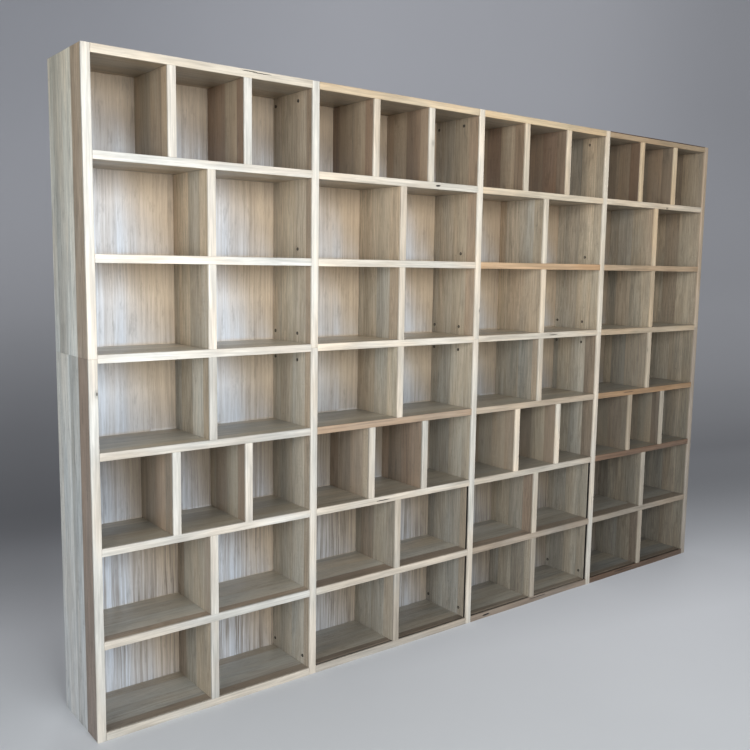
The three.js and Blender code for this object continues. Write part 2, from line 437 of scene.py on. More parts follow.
def back_timber():
    """Quarter-cut back: fine upright stripes between dark and pale, stronger near the floor, over a
    colour painted pale where light falls and brown in the shade, as painted light and shade."""
    colours = settings()[1]
    material, nodes, shader = new_material("back_timber")
    grain = nodes.attribute("grain")
    height = nodes.separate(nodes.object_place())[2]
    # The lean of the make carries the back's painted light
    lit_share = nodes.separate(nodes.attribute("make"))[1]
    fibres = place_fibres(nodes, grain, 0.022)
    bent = fibres["Bent"]
    wide = nodes.remap(nodes.noise(bent, (0.3, 11, 0.1), 1, 0.5), 0.35, 0.65)
    narrow = nodes.remap(nodes.noise(bent, (1.2, 88, 0.1), 3, 0.65), 0.38, 0.6)
    fine = nodes.remap(nodes.noise(bent, (4.0, 240, 0.1), 2, 0.6), 0.3, 0.7)
    stripes = nodes.math("ADD", nodes.product(narrow, 0.6), nodes.product(fine, 0.4))
    patchy = nodes.remap(nodes.noise(grain, (3.0, 6, 0.1), 2, 0.5), 0.3, 0.7, 0.6, 1.25)
    contrast = nodes.product(nodes.remap(height, 1.1, 0.3, 0.44, 0.88), patchy)
    depth = nodes.product(nodes.rest(stripes), contrast)
    # Painted light, broken up by a wide noise
    mottled_lit_share = nodes.shade(lit_share, ((wide, 0.65, 1.0),))
    base = nodes.mix("MIX", mottled_lit_share, colours.back_brown, colours.back_lit)
    colour = nodes.mix("MIX", depth, base, colours.back_dark)
    colour = nodes.mix("MULTIPLY", 1.0, colour, nodes.attribute("tint", "Color"))
    shade = nodes.shade(1.0, ((fibres["Pores"], 1.0, 0.8), (fibres["Grime"], 1.02, 0.82)))
    nodes.feed_all(shader.inputs, {
        "Base Color": nodes.vector("SCALE", colour, shade),
        "Roughness": nodes.remap(stripes, 0.0, 1.0, 0.68, 0.55),
    })
    nodes.bump(shader, nodes.math("SUBTRACT", narrow, fibres["Pores"]), 0.3)
    return material


def screw_steel():
    """Blackened steel: dull patches over a dark metal."""
    steel = settings()[1].steel
    material, nodes, shader = new_material("screw_steel")
    patches = nodes.noise(nodes.object_place(), (400, 400, 400), 3, 0.6)
    dark = [0.4 * value for value in steel]
    nodes.feed_all(shader.inputs, {
        "Base Color": nodes.mix("MIX", patches, dark, steel),
        "Roughness": nodes.remap(patches, 0.3, 0.7, 0.35, 0.6),
        "Metallic": 0.6,
    })
    return material


def finish(name):
    """A material by name, made the first time it is asked for."""
    makers = {
        "upright_staves": lambda: board_timber(name, roughness=0.55, coat=0.0, streak=0.22),
        "shelf_staves": lambda: board_timber(name, roughness=0.4, coat=0.25, streak=0.12),
        "lipping_timber": lipping_timber,
        "back_timber": back_timber,
        "screw_steel": screw_steel,
    }
    return bpy.data.materials.get(name) or makers[name]()




# Boards

# Steps of a rounded corner, and the angle at which the rounding of an end starts
ARC_STEPS = 3
CAP_ANGLE = 0.25
# Wave numbers of a wandering edge in radians per metre
WAVES = (4.1, 11.0)
# How far apart two boards lie in the fibre pattern for each step of their numbers
FIBRE_STEP = 0.37
# Least cross product of two sides that makes a corner of an outline
CORNER_TURN = 0.5
# Faces that meet at a larger angle have a sharp edge
SHARP_ANGLE = math.radians(40)


def rounded_outline(points, radius):
    """A right-angled outline as arc centres and directions: a point is its centre plus a distance
    times its direction. Outer corners are quarter arcs; inner corners and points on a straight
    side are single points."""
    corner = np.asarray(points, float)
    ahead = np.roll(corner, -1, axis=0) - corner
    ahead /= np.linalg.norm(ahead, axis=1, keepdims=True)
    leaving = np.stack([ahead[:, 1], -ahead[:, 0]], axis=1)
    coming = np.roll(leaving, 1, axis=0)
    behind = np.roll(ahead, 1, axis=0)
    cross = behind[:, 0] * ahead[:, 1] - behind[:, 1] * ahead[:, 0]
    outer = cross > CORNER_TURN
    angle = np.linspace(0, math.pi / 2, ARC_STEPS + 1)[None, :, None]
    arcs = np.cos(angle) * coming[:, None] + np.sin(angle) * leaving[:, None]
    slant = np.where(np.abs(cross)[:, None] > CORNER_TURN, coming + leaving, leaving)
    single = np.broadcast_to(slant[:, None], arcs.shape)
    keep = outer[:, None] | (np.arange(ARC_STEPS + 1) == 0)[None]
    turns = np.where(outer[:, None, None], arcs, single)[keep]
    centres = np.broadcast_to((corner - radius * slant)[:, None], arcs.shape)[keep]
    return centres, turns


def wandering(length, amount, rng):
    """A slow random stray for each station: two sine waves whose phases are the first two of four
    draws."""
    phase = rng.uniform(0, 2 * math.pi, 4)
    long_wave = np.sin(length * WAVES[0] + phase[0]) + 0.5 * np.sin(length * WAVES[1] + phase[1])
    return 0.6 * amount * long_wave


def at_points(value, place):
    """A value for every point: a function of the points, or one value for all of them."""
    found = value(place) if callable(value) else np.asarray(value, float)
    return np.broadcast_to(found, (len(place), np.shape(found)[-1]))


class BoardSet:
    """Boards gathered into one mesh. Each has fibre coordinates, a tint and a make: its number, the
    lean of its staves from brown (-1) to grey (1), and how brown its front stave is."""

    def __init__(self, rng):
        self.rng = rng
        self.points, self.faces, self.slots = [], [], []
        self.grain, self.make, self.tint = [], [], []
        self.total = 0

    def add(self, outline, ends, axes, across, radius, tint, make=(0.0, 0.0), slot=TIMBER,
            wander=0.0, sections=8):
        """Carries an outline along a straight path between two ends. At both ends it shrinks along
        the same arc that rounds its corners. across is the axis and origin of the board's width."""
        centres, turns = rounded_outline(outline, radius)
        angle = np.linspace(CAP_ANGLE, math.pi / 2, ARC_STEPS + 1)
        inset = radius * (1 - np.sin(angle))
        rise = radius * (math.cos(CAP_ANGLE) - np.cos(angle))
        middle = np.linspace(ends[0] + rise[-1], ends[1] - rise[-1], sections + 2)[1:-1]
        station = np.concatenate([ends[0] + rise, middle, ends[1] - rise[::-1]])
        shrink = np.concatenate([inset, np.zeros(sections), inset[::-1]])
        ring = centres[None] + (radius - shrink)[:, None, None] * turns[None]
        if wander:
            stray = np.stack([wandering(station, wander, self.rng) for _ in range(2)], axis=1)
            ring = ring + stray[:, None, :]
        rings, around = ring.shape[:2]
        place = np.empty((rings, around, 3))
        place[..., axes[0]] = ring[..., 0]
        place[..., axes[1]] = ring[..., 1]
        place[..., axes[2]] = station[:, None]
        place = place.reshape(-1, 3)
        first = np.arange(rings - 1)[:, None] * around + np.arange(around)[None]
        second = np.arange(rings - 1)[:, None] * around + (np.arange(around)[None] + 1) % around
        sides = np.stack([first, second, second + around, first + around], axis=-1).reshape(-1, 4)
        caps = [np.arange(around)[::-1], np.arange(around) + (rings - 1) * around]
        self.faces += (sides + self.total).tolist() + [(cap + self.total).tolist() for cap in caps]
        self.slots += [slot] * (len(sides) + len(caps))
        number = float(self.rng.integers(1, 4000))
        through = X + Y + Z - axes[2] - across[0]
        along = place[:, axes[2]] + number * FIBRE_STEP
        width = place[:, across[0]] - across[1]
        self.grain.append(np.stack([along, width, place[:, through]], axis=1))
        self.make.append(np.column_stack([np.full(len(place), number), at_points(make, place)]))
        self.tint.append(np.column_stack([at_points(tint, place), np.ones(len(place))]))
        self.points.append(place)
        self.total += len(place)

    def piece(self, name, materials, slot, nodes):
        """The gathered boards as an object that stands for CAD nodes and rides with the unit."""
        mesh = bpy.data.meshes.new(name)
        mesh.from_pydata(np.concatenate(self.points).tolist(), [], self.faces)
        mesh.polygons.foreach_set("material_index", np.array(self.slots, dtype=np.int32))
        for label, kind, key, data in (
            ("grain", "FLOAT_VECTOR", "vector", self.grain),
            ("make", "FLOAT_VECTOR", "vector", self.make),
            ("tint", "FLOAT_COLOR", "color", self.tint),
        ):
            layer = mesh.attributes.new(label, kind, "POINT")
            layer.data.foreach_set(key, np.concatenate(data).ravel().astype(np.float32))
        for material in materials:
            mesh.materials.append(finish(material))
        return place_piece(mesh, nodes)


def place_piece(mesh, nodes=()):
    """An object for a finished mesh, smooth but for its sharp edges, riding with the unit."""
    mesh.update()
    mesh.shade_smooth()
    mesh.set_sharp_from_angle(angle=SHARP_ANGLE)
    piece = bpy.data.objects.new(mesh.name, mesh)
    bpy.context.scene.collection.objects.link(piece)
    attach(piece, BODY)
    if nodes:
        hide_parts(*nodes)
    return piece


def rectangle(low, high):
    """Corners of a rectangle in the outline's two directions, turning left."""
    return [(low[0], low[1]), (high[0], low[1]), (high[0], high[1]), (low[0], high[1])]


# Places taken from the frame


def node_box(name):
    low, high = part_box(name)
    return np.array(low), np.array(high)


def bay_name(stem, bay):
    return f"{stem}_bay_{bay}"


def shelf_stem(level):
    """The CAD name of the shelf at a level, counted from the base board."""
    if level == 0:
        return "base_board"
    if level == ROWS:
        return "top_board"
    plain = f"shelf_{level}"
    return plain if bay_name(plain, 1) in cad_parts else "divided_" + plain


SHELF_THICKNESS = float(np.ptp(np.array(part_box("base_board_bay_1"))[:, Z]))
BOARD_THICKNESS = float(np.ptp(np.array(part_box("lower_upright_1"))[:, X]))
FRONT = float(CAD_LOW[Y])
SHELF_BACK = float(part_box("base_board_bay_1")[1][Y])
BACK_MIDDLE = float(np.mean(np.array(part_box("back_panel_bay_1"))[:, Y]))


def level_span(level):
    """Underside and top of the shelves at a level."""
    low = node_box(bay_name(shelf_stem(level), 1))[0][Z]
    return low, low + SHELF_THICKNESS


def bay_span(bay):
    """Clear width of a bay between its uprights."""
    left = node_box(f"lower_upright_{bay}")[1][X]
    return left, node_box(f"lower_upright_{bay + 1}")[0][X]


def divider_spans(bay, cells):
    """Left and right faces of the dividers in a row of equal cells."""
    left, right = bay_span(bay)
    cell = (right - left - (cells - 1) * BOARD_THICKNESS) / cells
    start = left + cell * np.arange(1, cells) + BOARD_THICKNESS * np.arange(cells - 1)
    return [(place, place + BOARD_THICKNESS) for place in start]


# Tints

# Painted light and shade by height, partly also the timber's own tone
# Lightness of the timber in each row, and of the shelf and its lipping at each level, from the base
WALL_TONE_AND_LIGHT = (1.06, 0.97, 1.03, 1.05, 1.2, 1.2, 0.98)
BACK_TONE_AND_LIGHT = (1.1, 1.02, 0.58, 1.12, 1.32, 1.32, 0.77)
SHELF_TONE_AND_LIGHT = (0.78, 0.94, 0.75, 0.92, 1.36, 1.2, 0.9, 0.75)
EDGE_TONE_AND_LIGHT = (0.74, 0.8, 0.86, 0.77, 0.94, 0.97, 0.94, 0.92)
# Lightness of the backs' outer faces, and the even share of the pale back colour on them
REAR_TONE, REAR_LIT_SHARE = 1.05, 0.4
# How much paler the upper face of a top board is than its underside, which has painted shade
TOP_SHADE_LIFT = 1.9
# Points this close to the top of a top board belong to its upper face
FACE_DEPTH = 2 * MM
# Lightness of the outer left board
END_TONE = 1.9
# Lean of the staves of the outer left board, the other uprights and the shelves
END_LEAN, UPRIGHT_LEAN, SHELF_LEAN = 0.9, 0.25, 0.45
# How brown the front staves of the two lowest shelves and of the others are
LOW_SHELF_FRONT, SHELF_FRONT = 0.7, 0.2
# Most painted shade on boards, shelves and lippings, and the height up to which it reaches
BOARD_LOW_SHADE, SHELF_LOW_SHADE, LIPPING_LOW_SHADE = 0.36, 0.12, 0.26
LOW_SHADE_HEIGHT = 0.6 * CAD_HIGH[Z]
# Lean of the dividers' staves from brown to grey in each row, from the base up
DIVIDER_LEANS = (0.2, 0.1, -0.3, 0.2, 0.3, 0.3, -0.5)
# Painted shade of the timber in each bay, darker towards the right, from the left
BAY_SHADE_TONES = (1.0, 0.96, 0.93, 0.7)
BACK_BAY_SHADE = (1.2, 1.12, 0.98, 0.64)
SHELF_BAY_SHADE = (1.0, 0.95, 0.98, 0.83)
# How far the backs of each bay take the painted light hue, from the left
BACK_LIGHT_HUE = (0.3, 0.8, 1.0, 1.0)
# Lightness of the uprights' lippings and how brown their front staves are, from the left
UPRIGHT_EDGES = (0.93, 0.97, 1.08, 1.08, 0.95)
FRONT_STAVES = (0.9, 0.7, 0.3, 0.35, 0.3)
# Share of that brown in the upper board of the left end
UPPER_END_BROWN = 0.88
# How far the uprights' lippings go to straw at the right, and to umber at the right end
UPRIGHT_STRAW = {"lower": 0.2, "upper": 0.6}
RIGHT_END_UMBER = 0.4
# How far the shelves' lippings at the right go to straw at the floor, and what the top adds
FLOOR_STRAW, TOP_STRAW = 0.35, 0.5
# Lightness of the dividers' lippings in each bay, and of odd ones by bay and row
DIVIDER_EDGES = (0.98, 0.92, 1.0, 1.06)
ODD_DIVIDERS = {
    (1, 4): 0.87, (2, 1): 0.86, (2, 2): 0.86, (2, 4): 1.15, (2, 5): 0.86, (3, 1): 0.85,
    (3, 3): 1.45, (4, 2): 0.88, (4, 3): 0.8, (4, 5): 0.85,
}
# How far odd shelf lippings go to ivory, to amber and to umber, by bay and level
IVORY_RAILS = {(4, 6): 0.5}
AMBER_RAILS = {(2, 3): 0.5, (3, 5): 0.7, (4, 3): 0.75, (4, 5): 0.35}
UMBER_RAILS = {
    (2, 0): 0.2, (2, 3): 0.2, (3, 0): 0.6, (3, 1): 0.35, (3, 3): 0.2, (4, 0): 0.95, (4, 1): 0.25,
    (4, 2): 0.95, (4, 3): 0.25, (4, 4): 0.25, (4, 5): 0.35, (4, 7): 0.45,
}


def low_right_shade(bay, height, most):
    """Painted shade: none at the left, most low down at the right."""
    right = (bay - 1) / (BAYS - 1)
    low = np.clip(1 - np.asarray(height, float) / LOW_SHADE_HEIGHT, 0, 1)
    return 1 - most * right * low


def bay_shade(bay, height, tones=BAY_SHADE_TONES, most=BOARD_LOW_SHADE):
    """Lightness of the boards of a bay at a height: painted shade, darker to the right and low
    down.
    """
    return tones[bay - 1] * low_right_shade(bay, height, most)


def hue_by_height(height, shares, channels):
    """A colour for each height: its red, green and blue blended between shares of the unit's."""
    share = np.asarray(height, float) / CAD_HIGH[Z]
    return np.stack([np.interp(share, shares, channel) for channel in channels], axis=-1)


def painted_light_hue(height):
    """Painted light hue: cool at the floor, neutral in the middle and warm at the top."""
    return hue_by_height(height, (0.0, 0.5, 1.0),
                         ((0.97, 1.0, 1.0), (1.0, 1.0, 0.92), (1.03, 0.98, 0.83)))


def bleached_end(place):
    """Tint of the outer left board: pale, with a painted light hue that is cool at the floor and
    greenish towards the top.
    """
    return END_TONE * hue_by_height(place[:, Z], (0.0, 0.55, 1.0),
                                    ((0.9, 0.96, 1.02), (0.98, 1.03, 1.01), (1.14, 1.12, 0.95)))


def row_middle(row):
    """Height of the middle of a row counted from the base."""
    return (level_span(row - 1)[1] + level_span(row)[0]) / 2


def row_shade(tones, bay, bay_shades=BAY_SHADE_TONES, light_hue_power=1.0):
    """Tint that follows the rows: the painted light and shade of each row blended between their
    middles, times the bay's painted shade and the painted light hue to the power of a share."""
    middles = np.array([row_middle(row) for row in range(1, ROWS + 1)])

    def shade(place):
        height = place[:, Z]
        tone = np.interp(height, middles, tones) * bay_shade(bay, height, bay_shades)
        return tone[:, None] * painted_light_hue(height) ** light_hue_power

    return shade


def board_tint(lightness, height, rng):
    """Tint of a board that stands at one height, with the painted light hue of that height."""
    return lightness * rng.uniform(0.95, 1.05) * painted_light_hue(height)


def toward(colour, other, share):
    """A colour moved to another by a share of the way."""
    return colour + (np.array(other) - colour) * share


def lipping_tint(bay, level, rng):
    """Lipping colour: ivory at the left, straw to the right and along the top, with odd boards."""
    colours = settings()[1]
    share = (bay - 1) / (BAYS - 1) * (FLOOR_STRAW + (1 - FLOOR_STRAW) * level / ROWS)
    share += TOP_STRAW if level == ROWS else 0.0
    share = np.clip(share + rng.uniform(-0.08, 0.08), 0, 1)
    tint = toward(np.array(colours.ivory), colours.straw, share)
    for colour, rails in ((colours.ivory, IVORY_RAILS), (colours.amber, AMBER_RAILS),
                          (colours.umber, UMBER_RAILS)):
        tint = toward(tint, colour, rails.get((bay, level), 0.0))
    # Painted light and shade by level, and painted shade low at the right
    tone = np.interp(level, np.arange(ROWS + 1), EDGE_TONE_AND_LIGHT)
    tone = tone * low_right_shade(bay, level / ROWS * CAD_HIGH[Z], LIPPING_LOW_SHADE)
    return tint * tone * rng.uniform(0.96, 1.02)


def upright_lipping(line, part, rng):
    """Lipping colour of an upright: ivory, straw to the upper right, umber at the right end."""
    colours = settings()[1]
    share = (line - 1) / BAYS * UPRIGHT_STRAW[part]
    tint = toward(np.array(colours.ivory), colours.straw, share)
    if line == BAYS + 1:
        tint = toward(tint, colours.umber, RIGHT_END_UMBER)
    tone = UPRIGHT_EDGES[line - 1] * (1.0 if part == "upper" else 0.9 - 0.02 * line)
    return tint * tone * rng.uniform(0.97, 1.02)


def stave_start(sizes, rng):
    """Depth at which the foremost stave would begin, so that only part of it is left."""
    return FRONT - sizes.stave + sizes.front_stave * rng.uniform(0.6, 1.15)


# Pieces

# Splits in rails by bay and level: share of the rail's length, then rise above its underside,
# length and height in mm
SPLITS = {
    (1, 7): ((0.68, 22, 60, 2.5), (0.74, 20, 80, 2.5)),
    (2, 6): ((0.72, 14, 26, 7),),
    (2, 2): ((0.4, 12, 70, 4),),
    (3, 0): ((0.12, 14, 46, 8), (0.55, 20, 120, 3)),
    (4, 3): ((0.3, 17, 90, 3),),
    (4, 0): ((0.35, 19, 160, 3),),
    (3, 4): ((0.6, 16, 60, 3),),
}
# Inner uprights whose lower joints gape
GAPING_LINES = (3, 4)
# Rows in which some dividers have an open joint, and their share
OPEN_JOINT_ROWS, OPEN_JOINT_SHARE = (2, 3), 0.3
# How far painted shade in an open joint stays back from the faces of the board, and its rounding
SHADE_STRIP_INSET, SHADE_STRIP_ARRIS = 2 * MM, 0.2 * MM
# Height and depth of the bark edge, how proud it stands, and its lightness against umber
WANE, WANE_PROUD = 4 * MM, 0.4 * MM
WANE_TONE = 0.45
# How far a split's dark lens stands before a rail and goes into it, its slope and its rounding
SPLIT_PROUD, SPLIT_DEPTH = 0.7 * MM, 3 * MM
SPLIT_SLOPE, SPLIT_ARRIS = 0.25, 0.1 * MM
# Columns and rows of points on the front of a back
BACK_COLUMNS, BACK_ROWS = 42, 140
# Painted light on a back in most rows and in the top row: its change down a cell, its change over
# it, and its value at the top left
CELL_LIGHT_SLOPE, TOP_ROW_LIGHT_SLOPE = (0.7, -1.5, 0.98), (1.1, -0.9, 0.37)
# Painted light across each cell of a back
# Lightness of a back at one side of a cell and its loss to the other, from the left and the top
LIGHT_OVER, LIGHT_DOWN = (1.17, 0.4), (1.06, 0.16)
# Share of a cell's height over which it loses lightness
LIGHT_REACH = 0.6


def add_shade_strip(boards, low, high, axes, ends):
    """Painted shade in an open joint: a dark strip set back from both faces of the board."""
    dirt_and_shade = np.array(settings()[1].dirt_and_shade)
    boards.add(rectangle(low, high), ends, axes, (axes[0], low[0]), SHADE_STRIP_ARRIS, dirt_and_shade)


def add_upright_shade_strip(boards, faces, depths, ends):
    """Painted shade in the joint behind the lipping of an upright board."""
    low, high = faces[0] + SHADE_STRIP_INSET, faces[1] - SHADE_STRIP_INSET
    add_shade_strip(boards, (low, depths[0]), (high, depths[1]), UPRIGHT_AXES, ends)


def add_wane(boards, top, ends, sizes):
    """Bark edge left on a rail: a thin dark strip that wanders along its upper front arris."""
    dark = WANE_TONE * np.array(settings()[1].umber)
    bottom = top - WANE
    strip = rectangle((FRONT - WANE_PROUD, bottom), (FRONT + WANE, top + WANE_PROUD))
    boards.add(strip, ends, SHELF_AXES, (Z, bottom), WANE_PROUD, dark, slot=LIPPING,
               wander=sizes.wander, sections=30)


def add_split(boards, centre, length, height):
    """Dark split in the front of a rail: a lens that slopes a little along its length, from just
    before the rail to inside it."""
    dirt_and_shade = np.array(settings()[1].dirt_and_shade)
    turn = np.linspace(0, 2 * math.pi, 17)[:-1]
    across = centre[1] + height / 2 * (np.sin(turn) + SPLIT_SLOPE * np.cos(turn))
    along = centre[0] + length / 2 * np.cos(turn)
    outline = np.stack([across, along], axis=1)[::-1]
    boards.add(outline, (FRONT - SPLIT_PROUD, FRONT + SPLIT_DEPTH), FACE_AXES, (X, centre[0]),
               SPLIT_ARRIS, dirt_and_shade, sections=2)


def upright_outline(line, low, high, front, sizes):
    """Section of an upright: its full thickness beside the shelves, and a web between the back
    panels behind them."""
    web_left, web_right = low[X], high[X]
    outline = [(low[X], front), (high[X], front)]
    if line <= BAYS:
        web_right = node_box(bay_name("back_panel", line))[0][X] - sizes.joint_line
        outline += [(high[X], SHELF_BACK), (web_right, SHELF_BACK)]
    if line > 1:
        web_left = node_box(bay_name("back_panel", line - 1))[1][X] + sizes.joint_line
    outline += [(web_right, high[Y]), (web_left, high[Y])]
    if line > 1:
        outline += [(web_left, SHELF_BACK), (low[X], SHELF_BACK)]
    return outline


def upright_spans(line, part, low, high, sizes):
    """Bottom, top and open joint of each length of an upright's body. The left end's joint is wide
    in the lower case, and two inner joints gape in the lowest rows."""
    if part == "lower" and line == 1:
        return [(low[Z], high[Z], sizes.panel_joint)]
    if part == "lower" and line in GAPING_LINES:
        split = sum(level_span(2)) / 2
        return [(low[Z], split, sizes.gaping_joint), (split, high[Z], sizes.joint_line)]
    return [(low[Z], high[Z], sizes.joint_line)]


def build_uprights(sizes, rng):
    """Ten uprights: a body with its rebates behind the shelves, and a lipping in front of it."""
    lip_back = FRONT + sizes.lipping
    for line in range(1, BAYS + 2):
        for part in ("lower", "upper"):
            node = f"{part}_upright_{line}"
            low, high = node_box(node)
            boards = BoardSet(rng)
            # Painted light and shade by row and by bay
            tint = row_shade(WALL_TONE_AND_LIGHT, max(line - 1, 1))
            make = (UPRIGHT_LEAN, FRONT_STAVES[line - 1])
            start = stave_start(sizes, rng)
            if line == 1:
                brown = FRONT_STAVES[0] * (UPPER_END_BROWN if part == "upper" else 1.0)
                tint, make, start = bleached_end, (END_LEAN, brown), lip_back
            for bottom, top, gap in upright_spans(line, part, low, high, sizes):
                front = lip_back + gap
                outline = upright_outline(line, low, high, front, sizes)
                boards.add(outline, (bottom, top), UPRIGHT_AXES, (Y, start), sizes.arris, tint,
                           make, sections=40)
                # An open joint holds a dark strip of painted shade
                if gap > sizes.joint_line:
                    faces = (low[X], high[X])
                    add_upright_shade_strip(boards, faces, (lip_back, front), (bottom, top))
            lip = rectangle((low[X], FRONT), (high[X], lip_back))
            tint = upright_lipping(line, part, rng)
            boards.add(lip, (low[Z], high[Z]), UPRIGHT_AXES, (X, low[X]), sizes.arris, tint,
                       slot=LIPPING, wander=sizes.wander, sections=24)
            materials = ["upright_staves", "lipping_timber"]
            boards.piece(f"visual_{node}", materials, "upright_timber", [node])


def top_with_shaded_underside(tint, top):
    """Tint of a top board: its upper face is paler than its underside, which has the painted shade
    of the row below.
    """
    return lambda place: np.where(place[:, Z:] > top - FACE_DEPTH, TOP_SHADE_LIFT, 1.0) * tint


def add_shelf(boards, bay, level, sizes, rng):
    """A shelf between its uprights: a body and a lipping with an open line between them. The joint
    of a base board gapes and holds a dark strip of painted shade."""
    left, right = bay_span(bay)
    bottom, top = level_span(level)
    ends = (left + sizes.end_joint, right - sizes.end_joint)
    lip_back = FRONT + sizes.lipping
    gap = sizes.joint_line
    if level == 0:
        gap = sizes.panel_joint if bay == 1 else sizes.gaping_joint
    body = rectangle((lip_back + gap, bottom), (SHELF_BACK, top))
    make = (SHELF_LEAN, LOW_SHELF_FRONT if level < 2 else SHELF_FRONT)
    # Painted light and shade by level and by bay
    lightness = SHELF_TONE_AND_LIGHT[level] * bay_shade(bay, bottom, SHELF_BAY_SHADE, SHELF_LOW_SHADE)
    tint = board_tint(lightness, bottom, rng)
    if level == ROWS:
        tint = top_with_shaded_underside(tint, top)
    boards.add(body, ends, SHELF_AXES, (Y, stave_start(sizes, rng)), sizes.arris, tint, make)
    # The base board's open joint holds a dark strip of painted shade
    if level == 0:
        low, high = (lip_back, bottom + SHADE_STRIP_INSET), (lip_back + gap, top - 2 * SHADE_STRIP_INSET)
        add_shade_strip(boards, low, high, SHELF_AXES, ends)
    lip = rectangle((FRONT, bottom), (lip_back, top))
    wander = sizes.ragged if level == 0 and bay > 2 else sizes.wander
    boards.add(lip, ends, SHELF_AXES, (Z, bottom), sizes.arris, lipping_tint(bay, level, rng),
               slot=LIPPING, wander=wander, sections=24)
    if (bay, level) == (BAYS, ROWS):
        add_wane(boards, top, ends, sizes)
    for share, rise, length, height in SPLITS.get((bay, level), ()):
        centre = (ends[0] + share * (ends[1] - ends[0]), bottom + rise * MM)
        add_split(boards, centre, length * MM, height * MM)


def add_divider(boards, span, row, bay, sizes, rng):
    """A divider in one row, standing between two shelves, with its lipping. Some low ones have an
    open joint."""
    ends = (level_span(row - 1)[1], level_span(row)[0])
    lip_back = FRONT + sizes.lipping
    open_joint = row in OPEN_JOINT_ROWS and rng.random() < OPEN_JOINT_SHARE
    front = lip_back + (sizes.panel_joint if open_joint else sizes.joint_line)
    body = rectangle((span[0], front), (span[1], SHELF_BACK))
    make = (DIVIDER_LEANS[row - 1], rng.uniform(0.0, 0.4))
    middle = row_middle(row)
    start = stave_start(sizes, rng)
    tint = board_tint(WALL_TONE_AND_LIGHT[row - 1] * bay_shade(bay, middle), middle, rng)
    boards.add(body, ends, UPRIGHT_AXES, (Y, start), sizes.arris, tint, make)
    # An open joint holds a dark strip of painted shade
    if open_joint:
        add_upright_shade_strip(boards, span, (lip_back, front), ends)
    lip = rectangle((span[0], FRONT), (span[1], lip_back))
    tone = DIVIDER_EDGES[bay - 1] * ODD_DIVIDERS.get((bay, row), 1.0)
    tint = tone * lipping_tint(bay, row - 0.5, rng)
    boards.add(lip, ends, UPRIGHT_AXES, (X, span[0]), sizes.arris, tint, slot=LIPPING,
               wander=sizes.wander, sections=10)


def build_shelves(sizes, rng):
    """Every shelf in its own piece; a divided shelf also carries its two glued dividers."""
    materials = ["shelf_staves", "lipping_timber"]
    for bay in range(1, BAYS + 1):
        for level in range(ROWS + 1):
            stem = shelf_stem(level)
            node = bay_name(stem, bay)
            boards = BoardSet(rng)
            add_shelf(boards, bay, level, sizes, rng)
            if stem.startswith("divided"):
                for span in divider_spans(bay, 3):
                    add_divider(boards, span, level + 1, bay, sizes, rng)
            boards.piece(f"visual_{node}", materials, "shelf_timber", [node])


def build_dividers(sizes, rng):
    """Loose dividers: one or two rows high, in the middle of a bay."""
    materials = ["upright_staves", "lipping_timber"]
    rows_by_stem = {"divider_rows_1_2": (1, 2), "divider_row_4": (4,), "divider_rows_5_6": (5, 6)}
    for bay in range(1, BAYS + 1):
        for stem, rows in rows_by_stem.items():
            node = bay_name(stem, bay)
            boards = BoardSet(rng)
            for row in rows:
                add_divider(boards, divider_spans(bay, 2)[0], row, bay, sizes, rng)
            boards.piece(f"visual_{node}", materials, "divider_timber", [node])


def place_in_cell(bay, place):
    """How far over (from the left) and down (from the top) a point stands in its cell, from 0 to 1,
    and the row of that cell."""
    left, right = bay_span(bay)
    pitch = level_span(1)[0] - level_span(0)[0]
    cells = np.array([3 if shelf_stem(row).startswith("divided") else 2 for row in range(ROWS)])
    rise = (place[:, Z] - SHELF_THICKNESS) / pitch
    row = np.clip(np.floor(rise), 0, ROWS - 1).astype(int)
    down = 1 - np.clip((rise - row) / (1 - SHELF_THICKNESS / pitch), 0, 1)
    count = cells[row] * (place[:, X] - left) / (right - left + BOARD_THICKNESS)
    return np.clip(count - np.floor(count), 0, 1), down, row + 1


def painted_cell_light(bay):
    """Make of a back: its lean is painted light, from none in the top right of a cell to full in
    its lower left, where light falls. The top row has most painted shade, and the outer face is
    even."""

    def make(place):
        over, down, row = place_in_cell(bay, place)
        slope = np.where(row == ROWS, np.array([TOP_ROW_LIGHT_SLOPE]).T, np.array([CELL_LIGHT_SLOPE]).T)
        ease = np.clip(slope[0] * down + slope[1] * over + slope[2], 0, 1)
        smooth = ease * ease * (3 - 2 * ease)
        lit_share = np.where(place[:, Y] > BACK_MIDDLE, REAR_LIT_SHARE, smooth)
        return np.column_stack([lit_share, np.zeros(len(place))])

    return make


def back_light_tint(bay):
    """Tint of a back: that of its rows, painted paler to the left and to the top of each cell as
    painted light. Its outer face has one tone."""
    rows = row_shade(BACK_TONE_AND_LIGHT, bay, BACK_BAY_SHADE, BACK_LIGHT_HUE[bay - 1])

    def tint(place):
        over, down, _ = place_in_cell(bay, place)
        below = np.clip(down / LIGHT_REACH, 0, 1)
        # Painted light: paler to the left and to the top of the cell
        light_factor = (LIGHT_OVER[0] - LIGHT_OVER[1] * over) * (LIGHT_DOWN[0] - LIGHT_DOWN[1] * below)
        rear = REAR_TONE * painted_light_hue(place[:, Z])
        return np.where(place[:, Y:Z] > BACK_MIDDLE, rear, light_factor[:, None] * rows(place))

    return tint


def build_backs(sizes, rng):
    """Full-height back panels in the rebates of the uprights, with points along their front faces
    that take the painted light and shade."""
    for bay in range(1, BAYS + 1):
        node = bay_name("back_panel", bay)
        low, high = node_box(node)
        boards = BoardSet(rng)
        steps = np.linspace(low[X], high[X], BACK_COLUMNS)
        outline = [*[(step, low[Y]) for step in steps], (high[X], high[Y]), (low[X], high[Y])]
        boards.add(outline, (low[Z], high[Z]), UPRIGHT_AXES, (X, low[X]), sizes.arris,
                   back_light_tint(bay), painted_cell_light(bay), sections=BACK_ROWS)
        boards.piece(f"visual_{node}", ["back_timber"], "back_panel_timber", [node])


